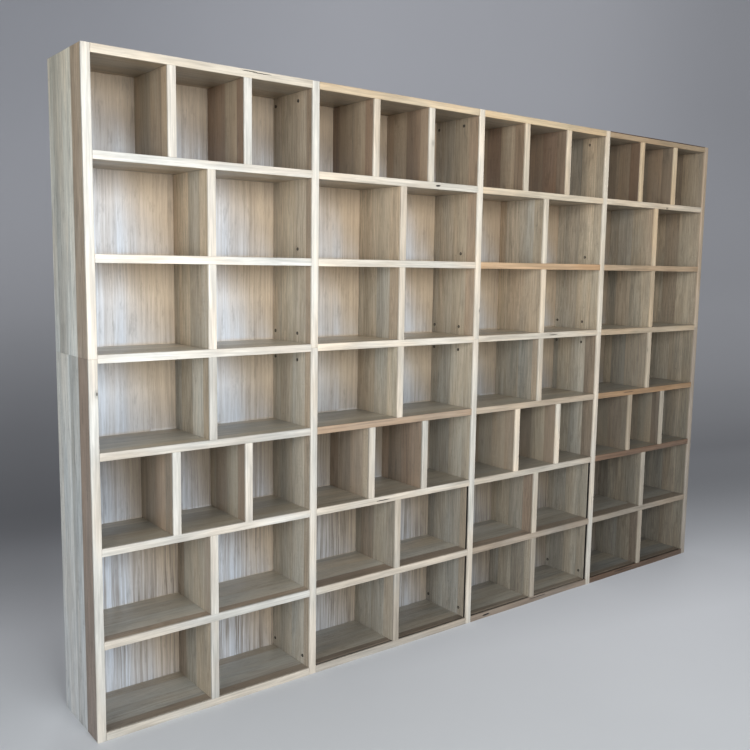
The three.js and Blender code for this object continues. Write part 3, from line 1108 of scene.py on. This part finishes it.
def screw_heads(places, radius):
    """Pan heads whose axes run along X, as one closed mesh: a half section from a recess over a
    dome to the rim, turned about each axis, with flat faces closing the recess and the rear."""
    out = np.array([0.18, 0.42, 0.5, 0.75, 0.92, 1.0, 0.96])[:, None]
    proud = np.array([-0.1, -0.1, 0.3, 0.27, 0.18, 0.06, -0.2])[:, None]
    turn = np.linspace(0, 2 * math.pi, 17)[:-1]
    section = radius * np.stack(
        np.broadcast_arrays(-proud, out * np.cos(turn), out * np.sin(turn)), axis=-1)
    points = (np.asarray(places)[:, None, None] + section[None]).reshape(-1, 3)
    rings, around = section.shape[:2]
    base = np.arange(len(places))[:, None, None] * rings * around
    ring = np.arange(rings - 1)[None, :, None] * around + base
    first = ring + np.arange(around)
    second = ring + (np.arange(around) + 1) % around
    sides = np.stack([first, first + around, second + around, second], axis=-1).reshape(-1, 4)
    recess = base[:, 0] + np.arange(around)
    rear = base[:, 0] + (rings - 1) * around + np.arange(around)[::-1]
    return points, sides.tolist() + recess.tolist() + rear.tolist()


def build_screws(sizes):
    """Connector screw heads on the left faces of the inner uprights."""
    top, bottom = float(CAD_HIGH[Z]), float(CAD_LOW[Z])
    below_joint, above_joint = level_span(LOWER_ROWS)
    near, middle, far = 52 * MM, 100 * MM, 262 * MM
    # Height, and depths behind the front
    rows = (
        (top - 60 * MM, (middle, far)),
        (level_span(LOWER_ROWS + 1)[1] + 36 * MM, (middle,)),
        (above_joint + 36 * MM, (middle, far)),
        (below_joint - 40 * MM, (middle, far)),
        (bottom + 62 * MM, (near, far)),
    )
    for line in range(2, BAYS + 1):
        face = node_box(f"lower_upright_{line}")[0][X]
        centres = [(face, FRONT + depth, height) for height, depths in rows for depth in depths]
        points, faces = screw_heads(centres, sizes.screw / 2)
        mesh = bpy.data.meshes.new(f"visual_screws_upright_{line}")
        mesh.from_pydata(points.tolist(), [], faces)
        mesh.materials.append(finish("screw_steel"))
        place_piece(mesh)


# Stage

CAMERA_PLACE = (-2.7137, -2.9241, 1.6251)
CAMERA_YAW, CAMERA_PITCH, CAMERA_ROLL = -37.85, -7.08, 0.87
CAMERA_LENS, CAMERA_SENSOR = 41.776, 36.0
SWEEP_SIDE, SWEEP_FRONT, SWEEP_BACK, SWEEP_RADIUS, SWEEP_HEIGHT = 16.0, 9.0, 3.4, 1.6, 9.0
SWEEP_TURN = math.radians(-13)
# Where on its run the floor dims, and where the backdrop takes the colour of the wall
DUSK_RUN, WALL_RUN = (-1.2, 2.6), (3.4, 7.5)
# Glow of the sweep as it runs from before the unit to high behind it: share of the run, strength
GLOW_RUN = (-1.4, 9.0)
GLOW = (
    (0.0, 0.1), (0.09, 0.19), (0.155, 0.15), (0.25, 0.1),
    (0.375, 0.085), (0.54, 0.12), (0.66, 0.175), (1.0, 0.185),
)
GLOW_HUE = np.array([1.0, 1.02, 1.1])
# How the glow differs from side to side: steps over the side, and where on the run they hold
GLOW_SIDES = (
    (((-1.3, 1.0, 0.5, 1.2),), ((-0.2, 0.6, 1.0, 0.0),)),
    (((-2.0, 2.0, 0.5, 1.15), (4.0, 7.0, 1.0, 0.72)), ((6.0, 8.2),)),
    (((-1.8, 4.5, 0.7, 1.25),), ((1.4, 2.2), (6.0, 4.2))),
)
# Place, target, width, watts, colour and beam in degrees of each lamp
LAMPS = {
    "key_lamp": ((-1.65, -4.7, 2.3), (-0.2, 0.0, 1.25), 2.5, 240, (0.96, 0.985, 1.0), 180),
    "side_lamp": ((-5.2, -2.4, 1.6), (-1.7, 0.0, 1.2), 2.5, 110, (0.93, 0.97, 1.0), 180),
    "rear_lamp": ((0.8, 3.5, 1.7), (0.0, 0.16, 1.3), 2.0, 22, (0.96, 0.985, 1.0), 60),
    "end_lamp": ((4.4, 1.3, 1.7), (1.75, 0.05, 1.4), 1.4, 5, (0.96, 0.985, 1.0), 60),
}
WORLD_COLOUR, WORLD_STRENGTH = (0.92, 0.95, 1.0), 0.11


def sweep_surface():
    """Floor that bends up into a backdrop: a straight run, a quarter arc and a straight rise,
    carried sideways and turned about the vertical; also the length run along it from the unit and
    the distance to its side."""
    floor = np.linspace(-SWEEP_FRONT, SWEEP_BACK, 60)
    angle = np.linspace(0, math.pi / 2, 24)[1:]
    rise = np.linspace(SWEEP_RADIUS, SWEEP_HEIGHT, 30)[1:]
    depth = np.concatenate([floor, SWEEP_BACK + SWEEP_RADIUS * np.sin(angle),
                            np.full(len(rise), SWEEP_BACK + SWEEP_RADIUS)])
    height = np.concatenate([np.zeros(len(floor)), SWEEP_RADIUS * (1 - np.cos(angle)), rise])
    bend = SWEEP_BACK + SWEEP_RADIUS * angle
    run = np.concatenate([floor, bend, bend[-1] + rise - SWEEP_RADIUS])
    side = np.linspace(-SWEEP_SIDE, SWEEP_SIDE, 33)
    cos, sin = math.cos(SWEEP_TURN), math.sin(SWEEP_TURN)
    depth, height = depth[:, None], height[:, None]
    grid = np.stack(np.broadcast_arrays(side * cos - depth * sin, side * sin + depth * cos, height),
                    axis=-1)
    rows, columns = grid.shape[:2]
    corner = np.arange(rows - 1)[:, None] * columns + np.arange(columns - 1)[None]
    faces = np.stack([corner, corner + 1, corner + columns + 1, corner + columns], axis=-1)
    return grid.reshape(-1, 3), faces.reshape(-1, 4), np.repeat(run, columns), np.tile(side, rows)


def stage_paint(colours):
    """Pale floor that dims towards the bend and a backdrop that lightens again as it rises: painted
    shade and light, with a faint mottle and a glow of painted light that is seen but lights
    nothing. It is clear from behind, so that the back of the unit can be seen."""
    material, nodes, shader = new_material("stage_paint")
    run, side = nodes.attribute("run", "Fac"), nodes.attribute("side", "Fac")
    ground = nodes.mix("MIX", nodes.remap(run, *DUSK_RUN), colours.floor, colours.dusk)
    whole = nodes.mix("MIX", nodes.remap(run, *WALL_RUN), ground, colours.wall)
    mottle = nodes.noise(nodes.object_place(), (0.8, 0.8, 0.8), 3, 0.5)
    mottle = nodes.remap(mottle, 0.2, 0.8, 0.97, 1.03)
    share = nodes.remap(run, *GLOW_RUN, easing="LINEAR")
    glow = nodes.ramp(share, [(place, strength * GLOW_HUE) for place, strength in GLOW])
    spread = 1.0
    for steps, stretch in GLOW_SIDES:
        part = 1.0
        for limits in steps:
            part = nodes.product(part, nodes.remap(side, *limits))
        part = nodes.math("SUBTRACT", part, 1.0)
        for limits in stretch:
            part = nodes.product(part, nodes.remap(run, *limits))
        spread = nodes.math("ADD", spread, part)
    path = nodes.add("ShaderNodeLightPath").outputs
    seen = nodes.math("MAXIMUM", path["Is Camera Ray"], path["Is Glossy Ray"])
    seen = nodes.math("MAXIMUM", seen, path["Is Transmission Ray"])
    nodes.feed_all(shader.inputs, {
        "Base Color": nodes.vector("SCALE", whole, mottle), "Roughness": 0.9,
        "Emission Color": nodes.vector("SCALE", glow, spread), "Emission Strength": seen,
    })
    sheer = nodes.add("ShaderNodeMixShader")
    behind = nodes.add("ShaderNodeNewGeometry").outputs["Backfacing"]
    clear = nodes.add("ShaderNodeBsdfTransparent").outputs[0]
    for socket, value in zip(sheer.inputs, (behind, shader.outputs[0], clear)):
        nodes.feed(socket, value)
    nodes.feed(nodes.tree.nodes["Material Output"].inputs["Surface"], sheer.outputs[0])
    return material


def area_lamp(name, place, target, size, power, colour, spread):
    """A square soft lamp at a place, turned to face a target; spread is its beam in degrees."""
    data = bpy.data.lights.new(name, "AREA")
    data.shape = "SQUARE"
    data.size = size
    data.energy = power
    data.color = colour
    data.spread = math.radians(spread)
    lamp = bpy.data.objects.new(name, data)
    lamp.visible_camera = False
    aim = np.array(target) - np.array(place)
    turn = Matrix.Rotation(math.atan2(aim[1], aim[0]) - math.pi / 2, 4, "Z")
    tilt = Matrix.Rotation(math.atan2(math.hypot(aim[0], aim[1]), -aim[2]), 4, "X")
    lamp.matrix_world = Matrix.Translation(place) @ turn @ tilt
    bpy.context.scene.collection.objects.link(lamp)


def build_stage(colours):
    """Floor and backdrop, lamps, world and the camera at the photograph's viewing angle."""
    points, faces, run, side = sweep_surface()
    mesh = bpy.data.meshes.new("stage_sweep")
    mesh.from_pydata(points.tolist(), [], faces.tolist())
    for label, data in (("run", run), ("side", side)):
        layer = mesh.attributes.new(label, "FLOAT", "POINT")
        layer.data.foreach_set("value", data.astype(np.float32))
    mesh.materials.append(stage_paint(colours))
    mesh.shade_smooth()
    sweep = bpy.data.objects.new("stage_sweep", mesh)
    scene = bpy.context.scene
    scene.collection.objects.link(sweep)
    for name, lamp in LAMPS.items():
        area_lamp(name, *lamp)
    world = bpy.data.worlds.new("studio_world")
    world.use_nodes = True
    background = world.node_tree.nodes["Background"]
    background.inputs["Color"].default_value = (*WORLD_COLOUR, 1)
    background.inputs["Strength"].default_value = WORLD_STRENGTH
    scene.world = world
    lens = bpy.data.cameras.new("photo_camera")
    lens.lens = CAMERA_LENS
    lens.sensor_width = CAMERA_SENSOR
    camera = bpy.data.objects.new("photo_camera", lens)
    camera.matrix_world = (
        Matrix.Translation(CAMERA_PLACE)
        @ Matrix.Rotation(math.radians(CAMERA_YAW), 4, "Z")
        @ Matrix.Rotation(math.radians(90 + CAMERA_PITCH), 4, "X")
        @ Matrix.Rotation(math.radians(CAMERA_ROLL), 4, "Z")
    )
    scene.collection.objects.link(camera)
    scene.camera = camera
    scene.view_settings.view_transform = "Standard"


# Operators


class SORTER_OT_uprights(bpy.types.Operator):
    """Build the uprights of both cases"""

    bl_idname = "sorter.uprights"
    bl_label = "Uprights"

    def execute(self, context):
        build_uprights(context.scene.sorter_sizes, np.random.default_rng(SEED))
        return {"FINISHED"}


class SORTER_OT_shelves(bpy.types.Operator):
    """Build the shelves, base boards and top boards"""

    bl_idname = "sorter.shelves"
    bl_label = "Shelves"

    def execute(self, context):
        build_shelves(context.scene.sorter_sizes, np.random.default_rng(SEED + 1))
        return {"FINISHED"}


class SORTER_OT_dividers(bpy.types.Operator):
    """Build the loose dividers"""

    bl_idname = "sorter.dividers"
    bl_label = "Dividers"

    def execute(self, context):
        build_dividers(context.scene.sorter_sizes, np.random.default_rng(SEED + 2))
        return {"FINISHED"}


class SORTER_OT_backs(bpy.types.Operator):
    """Build the back panels"""

    bl_idname = "sorter.backs"
    bl_label = "Back panels"

    def execute(self, context):
        build_backs(context.scene.sorter_sizes, np.random.default_rng(SEED + 3))
        return {"FINISHED"}


class SORTER_OT_screws(bpy.types.Operator):
    """Build the connector screw heads"""

    bl_idname = "sorter.screws"
    bl_label = "Connector screws"

    def execute(self, context):
        build_screws(context.scene.sorter_sizes)
        return {"FINISHED"}


class SORTER_OT_stage(bpy.types.Operator):
    """Build the floor, backdrop, lamps and camera"""

    bl_idname = "sorter.stage"
    bl_label = "Stage"

    def execute(self, context):
        build_stage(context.scene.sorter_colours)
        return {"FINISHED"}


OPERATORS = (
    SORTER_OT_uprights,
    SORTER_OT_shelves,
    SORTER_OT_dividers,
    SORTER_OT_backs,
    SORTER_OT_screws,
    SORTER_OT_stage,
)


class SORTER_PT_panel(bpy.types.Panel):
    """Sidebar panel with the sorter's operators and settings"""

    bl_idname = "SORTER_PT_panel"
    bl_label = "Pigeonhole sorter"
    bl_space_type = "VIEW_3D"
    bl_region_type = "UI"
    bl_category = "Sorter"

    def draw(self, context):
        layout = self.layout
        for operator in OPERATORS:
            layout.operator(operator.bl_idname)
        for group in settings():
            column = layout.column()
            for name in group.bl_rna.properties.keys():
                if name not in ("rna_type", "name"):
                    column.prop(group, name)


CLASSES = (SorterSizes, SorterColours, *OPERATORS, SORTER_PT_panel)


def register():
    for cls in CLASSES:
        bpy.utils.register_class(cls)
    bpy.types.Scene.sorter_sizes = bpy.props.PointerProperty(type=SorterSizes)
    bpy.types.Scene.sorter_colours = bpy.props.PointerProperty(type=SorterColours)


def unregister():
    del bpy.types.Scene.sorter_colours
    del bpy.types.Scene.sorter_sizes
    for cls in reversed(CLASSES):
        bpy.utils.unregister_class(cls)


def main():
    register()
    bpy.ops.sorter.uprights()
    bpy.ops.sorter.shelves()
    bpy.ops.sorter.dividers()
    bpy.ops.sorter.backs()
    bpy.ops.sorter.screws()
    bpy.ops.sorter.stage()


if __name__ == "__main__":
    main()
